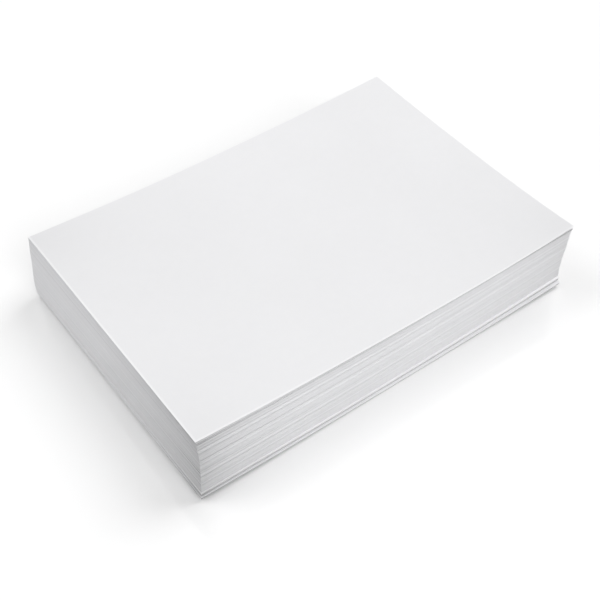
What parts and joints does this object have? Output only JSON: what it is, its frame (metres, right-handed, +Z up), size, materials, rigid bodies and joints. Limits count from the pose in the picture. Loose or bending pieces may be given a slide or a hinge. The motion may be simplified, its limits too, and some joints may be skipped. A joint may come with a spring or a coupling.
{
  "type": "ream of paper",
  "caption": "Unwrapped stack of loose plain white A4 copy paper, slightly dished, leaning and fanned, with a flat face to rest on.",
  "frame": {"origin": "centre of the stack's footprint, on the surface that it stands on", "axes": "+X along the sheets' long edge, +Y along their short edge, +Z up"},
  "size_m": [0.3024, 0.2144, 0.0571],
  "materials": {
    "paper": "uncoated white copy paper"
  },
  "bodies": {
    "root": {"lift_01": "paper", "lift_02": "paper", "lift_03": "paper", "lift_04": "paper", "lift_05": "paper", "lift_06": "paper", "lift_07": "paper", "lift_08": "paper", "lift_09": "paper", "lift_10": "paper", "lift_11": "paper", "lift_12": "paper", "lift_13": "paper", "lift_14": "paper", "lift_15": "paper", "lift_16": "paper", "lift_17": "paper", "lift_18": "paper", "lift_19": "paper", "lift_20": "paper", "lift_21": "paper", "lift_22": "paper", "lift_23": "paper", "lift_24": "paper", "lift_25": "paper", "lift_26": "paper", "lift_27": "paper", "lift_28": "paper", "lift_29": "paper", "lift_30": "paper", "lift_31": "paper", "lift_32": "paper", "lift_33": "paper", "lift_34": "paper", "lift_35": "paper", "lift_36": "paper", "lift_37": "paper", "lift_38": "paper", "loose_sheet_01": "paper", "loose_sheet_02": "paper", "loose_sheet_03": "paper", "loose_sheet_04": "paper", "loose_sheet_05": "paper", "top_sheet": "paper"}
  },
  "joints": []
}
